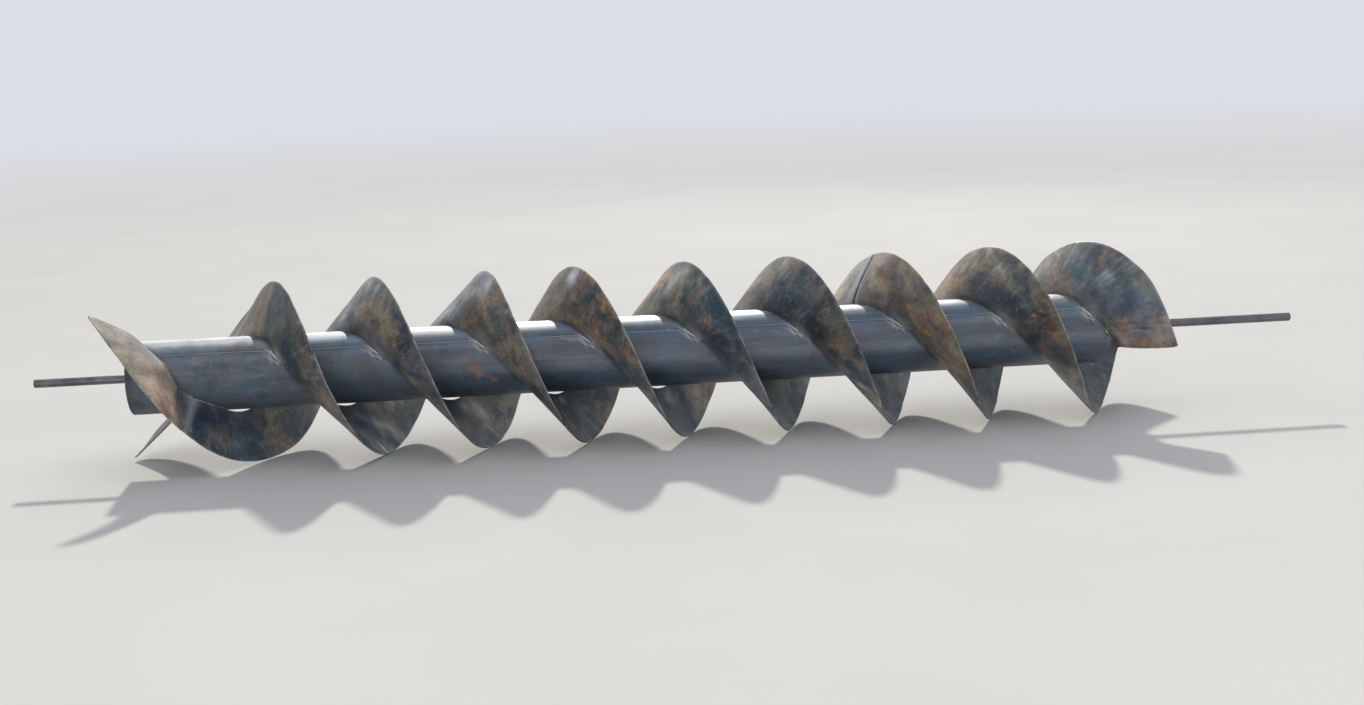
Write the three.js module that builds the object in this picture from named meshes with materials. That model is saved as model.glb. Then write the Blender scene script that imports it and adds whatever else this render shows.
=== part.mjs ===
// The runner of an Archimedes screw turbine, off its machine and lying on a floor:
// a steel tube with two helical flights welded round it, and a thin shaft at each end.
// Millimetres, +Z up. X runs along the axis from the tail end to the drive end, Y points away
// from the viewer, and the floor is z = 0 under the middle of the runner's length.
import * as THREE from 'three';

// Whole runner
const OVERALL_LENGTH = 2980;
const FACET_DEG = 10; // one flat of the tube and of the flights, with a flat at the very bottom
const FITTING_GAP = 0.3; // left between pieces that are welded together
const rad = THREE.MathUtils.degToRad;

// Flights. A phase is an angle round the axis in degrees: 90 is up, 180 the near side, 270 down.
// It grows toward the drive end, so both flights are right-handed.
const FLIGHT_RADIUS = 209;
const PITCH = 486; // along the axis, for one full turn of one flight
const PLATE_ALONG_AXIS = 4; // a 3 mm plate, measured along the axis
const LEAN = 78; // how far the outer edge stands ahead of the root, toward the drive end
const FLIGHT_A_ORIGIN = -821; // where flight A's outer edge would pass phase 0
const START_SPACING = 180; // flight B runs half a turn behind flight A
const SEAM_HALF_GAP_DEG = 0.11;
const SLANT_DEG = 20; // where an end is cut on a slant, the root runs this much past the outer corner
const SLANT_LEFT = 4; // width of plate left at the root end of such a cut
const SLANT_HOLLOW = 1.8; // makes the cut a straight line in space

// The half turns were pulled by hand. Each row is a phase and how far the plate lies there from
// the even helix, along the axis, and it is read between the rows. The first pieces are bent back,
// so their tips overhang the tail end of the tube.
const EDGE_A = [[-235, -195], [-65, 0], [300, 5], [395, -25], [640, -12], [700, 0], [1320, 0], [1400, 38]];
const EDGE_B = [[-50, -130], [40, 5], [90, 18], [320, 12], [415, 20], [500, -4], [700, 0], [900, -10],
  [1230, -18], [1400, -6], [1490, -22], [1580, 16], [1625, 4]];
const ROOT_A = [[-205, 0], [-165, -28], [-130, 0], [1335, 0], [1465, -46]];
const ROOT_B = [[-75, 60], [115, 32], [190, 0], [1515, 0], [1645, -46]];

// Hub tube, end plates and shafts
const TUBE_RADIUS = 84.15;
const TUBE_WALL = 5;
const TUBE_TAIL_X = -1270;
const TUBE_DRIVE_X = 1035;
const END_PLATE_THICKNESS = 10;
const END_PLATE_INSET = 4;
const SHAFT_RADIUS = 10;
const SHAFT_INSIDE = 60;

const AXIS_HEIGHT = FLIGHT_RADIUS * Math.cos(rad(FACET_DEG / 2));
const FLIGHT_ROOT = TUBE_RADIUS + FITTING_GAP;

const tubeSteel = new THREE.MeshStandardMaterial({ color: 0x4b4f55, roughness: 0.45, metalness: 0.7 });
const flightSteel = new THREE.MeshStandardMaterial({ color: 0x6c655a, roughness: 0.6, metalness: 0.6, side: THREE.DoubleSide });
const shaftSteel = new THREE.MeshStandardMaterial({ color: 0x6f6f70, roughness: 0.4, metalness: 0.8 });

// A straight-line reading of [place, value] rows, level before the first and after the last
function readRows(rows, place) {
  if (place <= rows[0][0]) return rows[0][1];
  for (let i = 1; i < rows.length; i++) {
    const [a, from] = rows[i - 1];
    const [b, to] = rows[i];
    if (place <= b) return from + ((to - from) * (place - a)) / (b - a);
  }
  return rows[rows.length - 1][1];
}

// A flat ring that is pulled out into a screw leans over: at a radius r the plate stands ahead of
// its root by a share of tan(d) - d, where cos(d) is the root's radius over r
function leanShare(radius) {
  const lean = (r) => {
    const d = Math.acos(Math.min(1, FLIGHT_ROOT / r));
    return Math.tan(d) - d;
  };
  return lean(radius) / lean(FLIGHT_RADIUS);
}

// The place along the axis of a flight's plate, at a phase in degrees and a radius
function flightX(flight, phase, radius) {
  const even = FLIGHT_A_ORIGIN + (PITCH * (phase - flight.behind)) / 360;
  const root = even - LEAN + readRows(flight.root, phase);
  const outer = even + readRows(flight.edge, phase);
  return root + (outer - root) * leanShare(radius);
}

// The radius of a flight's outer edge: full, but for the slanted cuts at its ends
function outerRadius(flight, phase) {
  const first = flight.seams[0];
  const last = flight.seams[flight.seams.length - 1];
  const fromStart = flight.slantedStart ? (phase - first) / SLANT_DEG : 1;
  const share = Math.min(1, fromStart, (last - phase) / SLANT_DEG) ** SLANT_HOLLOW;
  const narrowest = FLIGHT_ROOT + SLANT_LEFT;
  return narrowest + (FLIGHT_RADIUS - narrowest) * share;
}

// One piece of a flight: a box whose length is wound round the axis from one phase to another,
// whose depth is the plate's thickness along the axis and whose height runs from root to edge
function flightSection(flight, name, from, to) {
  const facets = Math.round((to - from) / FACET_DEG);
  const geometry = new THREE.BoxGeometry(1, 1, 1, facets, 1, 2);
  const position = geometry.getAttribute('position');
  for (let i = 0; i < position.count; i++) {
    const step = Math.round((position.getX(i) + 0.5) * facets);
    const edge = outerRadius(flight, from + step * FACET_DEG);
    const radius = FLIGHT_ROOT + (position.getZ(i) + 0.5) * (edge - FLIGHT_ROOT);
    let phase = from + step * FACET_DEG;
    if (step === 0) phase += SEAM_HALF_GAP_DEG;
    if (step === facets) phase -= SEAM_HALF_GAP_DEG;
    const x = flightX(flight, phase, radius) + position.getY(i) * PLATE_ALONG_AXIS;
    position.setXYZ(i, x, radius * Math.cos(rad(phase)), radius * Math.sin(rad(phase)));
  }
  geometry.computeVertexNormals();
  const section = new THREE.Mesh(geometry, flightSteel);
  section.name = name;
  return section;
}

// A ring or a round bar along the axis, from a closed profile of [x, radius] corners
function turned(name, profile, material) {
  const points = [...profile, profile[0]].map(([x, radius]) => new THREE.Vector2(radius, x));
  const geometry = new THREE.LatheGeometry(points, 360 / FACET_DEG, rad(FACET_DEG / 2));
  geometry.rotateZ(-Math.PI / 2);
  const mesh = new THREE.Mesh(geometry, material);
  mesh.name = name;
  return mesh;
}

const runner = new THREE.Group();
runner.position.z = AXIS_HEIGHT;

// Hub tube
const bore = TUBE_RADIUS - TUBE_WALL;
runner.add(turned('hub_tube', [
  [TUBE_TAIL_X, bore],
  [TUBE_TAIL_X, TUBE_RADIUS],
  [TUBE_DRIVE_X, TUBE_RADIUS],
  [TUBE_DRIVE_X, bore],
], tubeSteel));

// End plates, let into the tube, each with a hole for its shaft
function endPlate(name, outerX, inward) {
  const faces = [outerX, outerX + inward * END_PLATE_THICKNESS].sort((a, b) => a - b);
  return turned(name, [
    [faces[0], SHAFT_RADIUS + FITTING_GAP],
    [faces[0], bore - FITTING_GAP],
    [faces[1], bore - FITTING_GAP],
    [faces[1], SHAFT_RADIUS + FITTING_GAP],
  ], tubeSteel);
}
runner.add(endPlate('tail_end_plate', TUBE_TAIL_X + END_PLATE_INSET, 1));
runner.add(endPlate('drive_end_plate', TUBE_DRIVE_X - END_PLATE_INSET, -1));

// Stub shafts, from inside the tube out to the two ends of the runner
function stubShaft(name, from, to) {
  return turned(name, [
    [from, 0],
    [from, SHAFT_RADIUS],
    [to, SHAFT_RADIUS],
    [to, 0],
  ], shaftSteel);
}
runner.add(stubShaft('tail_stub_shaft', -OVERALL_LENGTH / 2, TUBE_TAIL_X + SHAFT_INSIDE));
runner.add(stubShaft('drive_stub_shaft', TUBE_DRIVE_X - SHAFT_INSIDE, OVERALL_LENGTH / 2));

// Flights: pieces of about half a turn each, butt welded end to end. The seams are phases round the axis.
const flightA = {
  name: 'flight_a',
  behind: 0,
  edge: EDGE_A,
  root: ROOT_A,
  slantedStart: true,
  seams: [-255, -155, 35, 215, 395, 575, 755, 935, 1115, 1295, 1465],
};
const flightB = {
  name: 'flight_b',
  behind: START_SPACING,
  edge: EDGE_B,
  root: ROOT_B,
  slantedStart: false,
  seams: [-75, 75, 255, 435, 615, 795, 975, 1155, 1335, 1515, 1645],
};
for (const flight of [flightA, flightB]) {
  for (let i = 1; i < flight.seams.length; i++) {
    const name = `${flight.name}_section_${String(i).padStart(2, '0')}`;
    runner.add(flightSection(flight, name, flight.seams[i - 1], flight.seams[i]));
  }
}

const group = new THREE.Group();
group.name = 'screw_turbine_runner';
group.add(runner);

export default group;
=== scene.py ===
"""Looks of a bare screw turbine runner: a steel tube, two welded helical flights and two thin shafts.

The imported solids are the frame. Every node is replaced by a smooth plate, tube or bar in the same
place, with the welds between them, and all pieces ride on the one body. Lengths in the driving
values are millimetres, and meshes are metres. A phase is an angle round the axis in degrees: 90 is
up, 180 the near side, 270 down, and it grows toward the drive end.
"""
import logging
import math
from dataclasses import dataclass, field
from enum import Enum

import bpy
import numpy as np
from mathutils import Matrix, Vector


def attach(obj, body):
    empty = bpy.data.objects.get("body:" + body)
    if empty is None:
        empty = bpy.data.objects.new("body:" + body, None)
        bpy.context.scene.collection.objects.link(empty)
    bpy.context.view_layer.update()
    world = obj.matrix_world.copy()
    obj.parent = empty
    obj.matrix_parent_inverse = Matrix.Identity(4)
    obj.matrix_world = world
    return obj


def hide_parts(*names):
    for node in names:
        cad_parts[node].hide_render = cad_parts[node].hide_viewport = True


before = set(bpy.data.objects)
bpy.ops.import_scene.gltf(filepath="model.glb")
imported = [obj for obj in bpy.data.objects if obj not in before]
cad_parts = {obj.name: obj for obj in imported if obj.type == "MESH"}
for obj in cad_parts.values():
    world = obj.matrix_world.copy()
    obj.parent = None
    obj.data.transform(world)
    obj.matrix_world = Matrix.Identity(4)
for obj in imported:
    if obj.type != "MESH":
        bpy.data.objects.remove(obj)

LOG = logging.getLogger("runner")
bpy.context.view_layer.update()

Grid = np.ndarray
Rows = tuple[tuple[float, ...], ...]
Colour = tuple[float, float, float]
Faces = list[list[int]]

METRE = 0.001

# The solids' driving sizes, in millimetres and degrees
SOLID_RADIUS = 209.0
FACET_DEG = 10.0
REACH = SOLID_RADIUS * math.cos(math.radians(FACET_DEG / 2))
AXIS_HEIGHT = REACH
PITCH = 486.0
FIRST_ORIGIN = -821.0
LEAN = 78.0
TUBE_RADIUS = 84.15
ROOT_RADIUS = 84.45
SLANT_DEG = 20.0
SLANT_LEFT = 4.0
SLANT_HOLLOW = 1.8
SEAM_HALF_GAP_DEG = 0.11

# The looks' own sizes, in millimetres and degrees
SHARP_DEG = 35.0
KINK_DEG = 8.0  # half the stretch over which a kink in the flights' rows is rounded
MIDDLE_RADIUS = 175.0  # where a plate's columns are spaced
ARC_RADIUS = 150.0  # where a plate's length round the axis is measured
ARC_SHIFT = 700.0  # keeps the grain of one flight from repeating on the other
RIM_SHARE = 0.55  # of half the thickness, for the two points of the rounded edge
SLIT_WIDTH = 5.2  # between root and tube, under the tube in the first turns
SLIT_PHASE, SLIT_HALF_DEG = 264.0, 28.0
SLITS_FROM, SLITS_TO = 150.0, 700.0
FIRST_SLIT_PHASE, FIRST_SLIT_HALF_DEG = -96.0, 26.0
RIPPLE_MM = 5.2  # from one ripple of a seam's bead to the next

# How finely the meshes are cut
SEAM_STATIONS, SEAM_RING = 84, 14
STITCH_RING, RIM_RING = 9, 10
TUBE_SIDES, TUBE_STEPS, BORE_STEPS = 120, 400, 24
DISC_SIDES, FACE_STEPS, BACK_STEPS = 96, 18, 6
FLOOR_RINGS, FLOOR_SIDES = 40, 96


class Face(Enum):
    """The two faces of a flight's plate, by the way they look along the axis."""

    TAIL = -1
    DRIVE = 1


# Mesh helpers


def sweep_faces(stations: int, around: int, closed: bool = False) -> Faces:
    """Quads between rings of points that follow each other, with point j of ring i numbered i * around + j.

    Args:
        stations: How many rings there are.
        around: How many points a ring has.
        closed: Whether the last ring joins the first, as on a doughnut.

    Returns:
        Lists of corner numbers.
    """
    i, j = np.meshgrid(np.arange(stations if closed else stations - 1), np.arange(around), indexing="ij")
    here, ahead, after = i * around, (i + 1) % stations * around, (j + 1) % around
    return np.stack([here + j, here + after, ahead + after, ahead + j], -1).reshape(-1, 4).tolist()


def bar_faces(stations: int, around: int) -> Faces:
    """Faces of a bar with a ring of points at each station: quads along it and one face across each end.

    Args:
        stations: How many rings the bar has.
        around: How many points a ring has.

    Returns:
        Lists of corner numbers.
    """
    first = list(range(around - 1, -1, -1))
    last = list(range((stations - 1) * around, stations * around))
    return sweep_faces(stations, around) + [first, last]


def signed_volume(points: Grid, faces: Faces) -> float:
    """Volume inside a closed shell: the sum of a . (b x c) / 6 over its fans of triangles.

    Args:
        points: Corners, one row each.
        faces: Lists of corner numbers.

    Returns:
        A value above zero where the faces point outwards.
    """
    quads = np.array([face for face in faces if len(face) == 4], int)
    total = 0.0
    for a, b, c in ((0, 1, 2), (0, 2, 3)):
        cross = np.cross(points[quads[:, b]], points[quads[:, c]])
        total += float(np.einsum("ij,ij->", points[quads[:, a]], cross)) / 6
    for face in faces:
        if len(face) != 4:
            corners = points[face]
            cross = np.cross(corners[1:-1], corners[2:])
            total += float((cross @ corners[0]).sum()) / 6
    return total


def add_object(name: str, data: bpy.types.ID) -> bpy.types.Object:
    """Adds an object to the scene.

    Args:
        name: Its name.
        data: Its mesh, light or camera.

    Returns:
        The new object at the origin.
    """
    made = bpy.data.objects.new(name, data)
    bpy.context.scene.collection.objects.link(made)
    return made


def make_piece(name: str, points: Grid, faces: Faces, attributes: dict[str, Grid]) -> bpy.types.Object:
    """Makes one smooth-shaded piece, its faces turned outwards.

    Args:
        name: The piece's name.
        points: Corners in metres, three numbers each.
        faces: Lists of corner numbers of one closed shell, or of several alike.
        attributes: Values for the material, one number a corner.

    Returns:
        The new object at the origin, linked to the scene.
    """
    corners = points.reshape(-1, 3)
    if signed_volume(corners - corners.mean(0), faces) < 0:
        faces = [face[::-1] for face in faces]
    mesh = bpy.data.meshes.new(name)
    mesh.from_pydata(corners.tolist(), [], faces)
    mesh.shade_smooth()
    mesh.set_sharp_from_angle(angle=math.radians(SHARP_DEG))
    for key, values in attributes.items():
        layer = mesh.attributes.new(key, "FLOAT", "POINT")
        layer.data.foreach_set("value", np.asarray(values, np.float32).ravel())
    return add_object(name, mesh)


def all_round(count: int, full: float = 360.0) -> Grid:
    """Even steps of a full turn, the last one short of the first."""
    return np.linspace(0, full, count, endpoint=False)


def unit(vectors: Grid) -> Grid:
    """The same vectors with a length of one."""
    return vectors / np.linalg.norm(vectors, axis=-1, keepdims=True)


def rippled(turn: Grid) -> Grid:
    """Ripples from 0 to 1: 0.5 + 0.5 sin(turn)."""
    return 0.5 + 0.5 * np.sin(turn)


def round_axis(along: Grid, radius: Grid, phase: Grid) -> Grid:
    """Points from places round the axis: (x, r cos p, r sin p + axis height), in metres.

    Args:
        along: Places along the axis, in millimetres.
        radius: Distances from the axis, in millimetres.
        phase: Phases in degrees.

    Returns:
        An array with three columns at the end.
    """
    turn = np.radians(phase)
    return np.stack([along, radius * np.cos(turn), radius * np.sin(turn) + AXIS_HEIGHT], -1) * METRE


def revolve(profile: Rows, sides: int) -> tuple[Grid, Grid, Grid]:
    """Turns a closed profile round the axis.

    Args:
        profile: Its (x, radius) corners, in millimetres.
        sides: How often it is set round the axis.

    Returns:
        Grids of x, radius and phase.
    """
    corners = np.array(profile)
    phase, along = np.meshgrid(all_round(sides), corners[:, 0], indexing="ij")
    return along, np.broadcast_to(corners[:, 1], along.shape), phase


def read_rows(rows: Rows, phase: Grid, column: int = 1, smooth: float = 0.0) -> Grid:
    """Reads rows of (phase, value, ...) between their places, level beyond both ends.

    Args:
        rows: The rows, with rising phases.
        phase: Where to read.
        column: Which value to read.
        smooth: Half width in degrees of the window that is averaged, which rounds the kinks.

    Returns:
        The values, in the shape of phase.
    """
    places = [row[0] for row in rows]
    values = [row[column] for row in rows]
    shifts = np.linspace(-smooth, smooth, 9) if smooth else np.zeros(1)
    return np.mean([np.interp(phase + shift, places, values) for shift in shifts], axis=0)


def hump(value: Grid, centre: float, width: float) -> Grid:
    """A bell: exp(-((value - centre) / width) ** 2)."""
    return np.exp(-(((value - centre) / width) ** 2))


def patches(rows: Rows, along: Grid, across: Grid) -> Grid:
    """Sums bells that have a size each way: strength * hump(along) * hump(across).

    Args:
        rows: For each bell its place along and across, its half size along and across, and its strength.
        along: Where the points lie the one way.
        across: Where they lie the other way.

    Returns:
        The sum at each point.
    """
    total = np.zeros_like(along)
    for place, middle, size, tall, strength in rows:
        total = total + strength * hump(along, place, size) * hump(across, middle, tall)
    return total


# Finishes


@dataclass(frozen=True)
class Signal:
    """A value that varies over a surface: an output of one node on a material's bench."""

    bench: "Bench"
    socket: bpy.types.NodeSocket

    def math(self, operation: str, *others: "Feed") -> "Signal":
        """One arithmetic step on this value and others."""
        return self.bench.node("ShaderNodeMath", dict(enumerate((self, *others))), operation=operation)

    def __add__(self, other: "Feed") -> "Signal":
        """The sum of both."""
        return self.math("ADD", other)

    def __mul__(self, other: "Feed") -> "Signal":
        """The product of both."""
        return self.math("MULTIPLY", other)

    def most(self, other: "Feed") -> "Signal":
        """The greater of both."""
        return self.math("MAXIMUM", other)

    def off(self, place: float) -> "Signal":
        """How far the value lies from a place, either way."""
        return self.math("SUBTRACT", place).math("ABSOLUTE")

    def clamped(self) -> "Signal":
        """The same value, held between 0 and 1 by its own node."""
        self.socket.node.use_clamp = True
        return self

    def span(self, low: float, high: float, start: float = 0.0, end: float = 1.0) -> "Signal":
        """A smooth step of the value, from start at low to end at high."""
        values = dict(enumerate((self, low, high, start, end)))
        return self.bench.node("ShaderNodeMapRange", values, interpolation_type="SMOOTHSTEP")


Feed = Signal | float | Colour


class Bench:
    """A bench on which one material is made: its colour is laid down coat by coat."""

    def __init__(self, name: str, base: Colour) -> None:
        """Starts a material with a shader, its output and the object's own coordinates.

        Args:
            name: The material's name.
            base: The colour under all the coats.
        """
        self.material = bpy.data.materials.new(name)
        self.material.use_nodes = True
        self.tree = self.material.node_tree
        self.tree.nodes.clear()
        self.shader = self.tree.nodes.new("ShaderNodeBsdfPrincipled")
        self.output = self.tree.nodes.new("ShaderNodeOutputMaterial")
        self.tree.links.new(self.shader.outputs[0], self.output.inputs["Surface"])
        self.place = self.node("ShaderNodeTexCoord", {}, "Object")
        self.colour: Feed = base

    def feed(self, socket: bpy.types.NodeSocket, value: Feed) -> None:
        """Links a socket to a signal, or sets its number or colour.

        Args:
            socket: An input of a node.
            value: What it gets.
        """
        if isinstance(value, Signal):
            self.tree.links.new(value.socket, socket)
        else:
            socket.default_value = (*value, 1.0) if isinstance(value, tuple) else value

    def node(self, kind: str, values: dict[int | str, Feed], output: int | str = 0, **choices: str) -> Signal:
        """Adds one node.

        Args:
            kind: The node's type.
            values: What its inputs get, by their numbers or names.
            output: The number or name of the output that is handed over.
            choices: The node's own settings, which are made before its inputs are fed.

        Returns:
            The output.
        """
        made = self.tree.nodes.new(kind)
        for key, choice in choices.items():
            setattr(made, key, choice)
        for key, value in values.items():
            self.feed(made.inputs[key], value)
        return Signal(self, made.outputs[output])

    def read(self, name: str) -> Signal:
        """The piece's own attribute of that name."""
        return self.node("ShaderNodeAttribute", {}, "Fac", attribute_name=name)

    def noise(self, scale: float, detail: float = 4.0, rough: float = 0.55, bend: float = 0.0,
              place: Signal | None = None) -> Signal:
        """Cloudy noise from 0 to 1.

        Args:
            scale: Clouds in a metre.
            detail: How many finer layers it has.
            rough: How strong the finer layers are.
            bend: How much it swirls.
            place: Coordinates, or None for the object's own.

        Returns:
            The noise.
        """
        values = {"Vector": place or self.place, "Scale": scale, "Detail": detail, "Roughness": rough}
        return self.node("ShaderNodeTexNoise", values | {"Distortion": bend}, "Fac")

    def grain(self, ways: tuple[str, str], scales: tuple[float, float], detail: float, rough: float,
              bend: float = 0.0) -> Signal:
        """Noise that is drawn out over the surface.

        Args:
            ways: The two attributes that serve as its coordinates, in metres.
            scales: Clouds in a metre of each.
            detail: How many finer layers it has.
            rough: How strong the finer layers are.
            bend: How much it swirls.

        Returns:
            The noise.
        """
        values = {index: self.read(way) * scale for index, (way, scale) in enumerate(zip(ways, scales))}
        return self.noise(1.0, detail, rough, bend, self.node("ShaderNodeCombineXYZ", values))

    def mix(self, share: Feed, first: Feed, second: Feed, blend: str = "MIX") -> Signal:
        """Two colours mixed by a share from 0 to 1."""
        values = {0: share, 6: first, 7: second}
        return self.node("ShaderNodeMix", values, 2, data_type="RGBA", blend_type=blend)

    def coat(self, shade: Feed, share: Feed, blend: str = "MIX") -> None:
        """Lays a coat of a shade over the colour so far, by a share from 0 to 1."""
        self.colour = self.mix(share, self.colour, shade, blend)

    def relief(self, *layers: tuple[Signal, float]) -> None:
        """Adds the bumps of several layers to the shader.

        Args:
            layers: Each layer's signal, and its height in metres.
        """
        normal = {}
        for height, depth in layers:
            values = {"Strength": 1.0, "Distance": depth, "Height": height}
            normal = {"Normal": self.node("ShaderNodeBump", values | normal)}
        self.feed(self.shader.inputs["Normal"], normal["Normal"])

    def finish(self, metal: Feed, rough: Feed) -> bpy.types.Material:
        """Gives the shader its colour, metal and roughness.

        Args:
            metal: 0 for paint, rust or dust and 1 for bare metal.
            rough: 0 for a mirror and 1 for chalk.

        Returns:
            The material.
        """
        for key, value in (("Base Color", self.colour), ("Metallic", metal), ("Roughness", rough)):
            self.feed(self.shader.inputs[key], value)
        return self.material


@dataclass(frozen=True)
class PlateFinish:
    """Weathered hot-rolled plate: olive and blue-grey mill scale, rust, dust, edges rubbed bright and ground
    seams, with painted highlights, reflections and shade.
    """

    name: str = "weathered_plate"
    cool: Colour = (0.044, 0.094, 0.142)
    warm: Colour = (0.215, 0.162, 0.104)
    pale: Colour = (0.42, 0.395, 0.395)
    tan: Colour = (0.48, 0.385, 0.275)
    dust: Colour = (0.31, 0.28, 0.235)
    # Soot, which also serves as painted shade where the paleness is below zero
    soot_and_painted_shade: Colour = (0.026, 0.039, 0.044)
    rust: Colour = (0.550, 0.205, 0.058)
    old_rust: Colour = (0.150, 0.078, 0.044)
    bare: Colour = (0.46, 0.47, 0.48)
    # The painted highlight and reflection colour, then the painted shade colour, laid by the painted light
    # rows
    sheen: Colour = (0.56, 0.61, 0.68)
    scorch_and_painted_shade: Colour = (0.016, 0.028, 0.058)
    greenish: Colour = (0.955, 1.05, 0.955)
    reddish: Colour = (1.03, 0.955, 1.045)
    dusty_to: float = 0.135

    def make(self) -> bpy.types.Material:
        """Lays out the nodes.

        Returns:
            The material, which reads the attributes warmth, pale, rust, tone, spot, ground, edge, root, arc
            and reach.
        """
        b = Bench(self.name, self.cool)
        ways = ("arc", "reach")
        clouds, patchy = b.noise(5.5, 3, 0.5, 0.4), b.noise(15, 4, 0.55, 0.5)
        blotch, grit = b.noise(21, 7, 0.62, 0.4), b.noise(190, 4, 0.62)
        streak, rays = b.grain(ways, (9, 120), 5, 0.6, 0.4), b.grain(ways, (95, 8), 4, 0.6, 0.3)
        strokes, brushed = b.grain(ways, (170, 48), 4, 0.6, 0.5), b.grain(ways, (520, 14), 3, 0.6)

        # Mill scale from cool to warm, with dust, soot and pale areas, partly painted light: a painted cool
        # shade on the bottoms, a painted sheen on the crests' shoulders and painted shade where the paleness
        # is below zero
        warmth = b.read("warmth") + clouds.span(0.32, 0.68, -0.4, 0.4)
        b.coat(self.warm, (warmth + patchy.span(0.34, 0.66, -0.40, 0.40)).clamped())
        b.coat(self.dust, rays.span(0.50, 0.72, 0.0, 0.45))
        b.coat(self.soot_and_painted_shade, streak.span(0.46, 0.74, 0.0, 0.45))
        b.coat(self.soot_and_painted_shade, blotch.span(0.54, 0.32, 0.0, 0.55))
        b.coat(self.soot_and_painted_shade, b.noise(9, 3, 0.5, 0.4).span(0.54, 0.34, 0.0, 0.60))
        # Paleness: real pale scale and dust, and a painted sheen on the crests' shoulders
        paleness = (b.read("pale") * blotch.span(0.28, 0.66, 0.55, 1.0)).clamped()
        b.coat(b.mix(b.read("warmth").span(0.55, 1.0), self.pale, self.tan), paleness)
        b.coat(self.dust, b.read("reach").span(ROOT_RADIUS * METRE, self.dusty_to, 0.28, 0.0))
        # Paleness below zero darkens the plate: painted shade on bottoms that face away from the light
        b.coat(self.soot_and_painted_shade, (b.read("pale") * -1.6).clamped())
        busy = b.noise(11, 2, 0.5, 0.4).span(0.38, 0.62, 0.15, 1.0)
        for layer, share in ((b.noise(62, 5, 0.7), 0.20), (strokes, 0.40), (grit, 0.26)):
            b.coat(self.dust, busy * layer.span(0.54, 0.70, 0.0, share))
            b.coat(self.soot_and_painted_shade, busy * layer.span(0.46, 0.32, 0.0, share))

        # Rust: eaten areas, specks, flecks and the named spots
        amount = b.read("rust")
        cluster = amount * b.noise(7.5, 2, 0.5, 0.6).span(0.40, 0.66)
        eaten = b.noise(34, 8, 0.70, 0.7) + cluster * 0.16
        specks = b.noise(105, 4, 0.6) + amount * 0.07
        flecks = b.grain(ways, (130, 60), 4, 0.6, 0.6) + cluster * 0.12
        spot = (b.read("spot") * b.noise(52, 6, 0.68, 0.5).span(0.34, 0.60)).clamped()
        rust = eaten.span(0.60, 0.76, 0.0, 0.85).most(specks.span(0.66, 0.74, 0.0, 0.75))
        rust = rust.most(flecks.span(0.665, 0.735, 0.0, 0.9)).most(spot).clamped()
        fresh = (b.noise(88, 5, 0.6).span(0.42, 0.66) + spot * 0.35).clamped()
        b.coat(b.mix(fresh, self.old_rust, self.rust), rust * 0.85)

        # Painted highlights and reflections above zero and painted shade below it, mottle, and steel that was
        # ground or rubbed bright
        b.coat(self.sheen, (b.read("painted_light") * rays.span(0.36, 0.60, 0.35, 1.0)).clamped())
        b.coat(self.scorch_and_painted_shade, (b.read("painted_light") * blotch.span(0.35, 0.60, -1.0, -0.7)).clamped())
        mottle = patchy.span(0.32, 0.68, 0.70, 1.28) * b.noise(55, 4, 0.6, 0.5).span(0.30, 0.70, 0.85, 1.16)
        b.coat(mottle, 1.0, "MULTIPLY")
        b.coat(b.mix(b.noise(24, 4, 0.6, 0.6).span(0.36, 0.64), self.greenish, self.reddish), 1.0, "MULTIPLY")
        b.coat(self.soot_and_painted_shade, b.read("root") * blotch.span(0.40, 0.6, 0.0, 0.6))
        ground = (b.read("ground") * brushed.span(0.25, 0.70, 0.40, 1.0)).clamped()
        paler = (b.read("edge") * b.noise(38, 4).span(0.42, 0.62, 0.15, 0.8)).clamped()
        bright = ground.most(paler)
        b.coat(self.bare, bright)

        metal = rust.span(0.0, 1.0, 0.28, 0.0) * paleness.span(0.0, 1.0, 1.0, 0.5)
        rough = blotch.span(0.25, 0.75, 0.36, 0.52) + rust * 0.32 + grit.span(0.3, 0.7) * 0.06
        b.relief((grit, 0.0002), (rust, 0.0004), (rays, 0.0006), (blotch, 0.0009))
        return b.finish(metal.most(bright * 0.9), rough)


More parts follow.
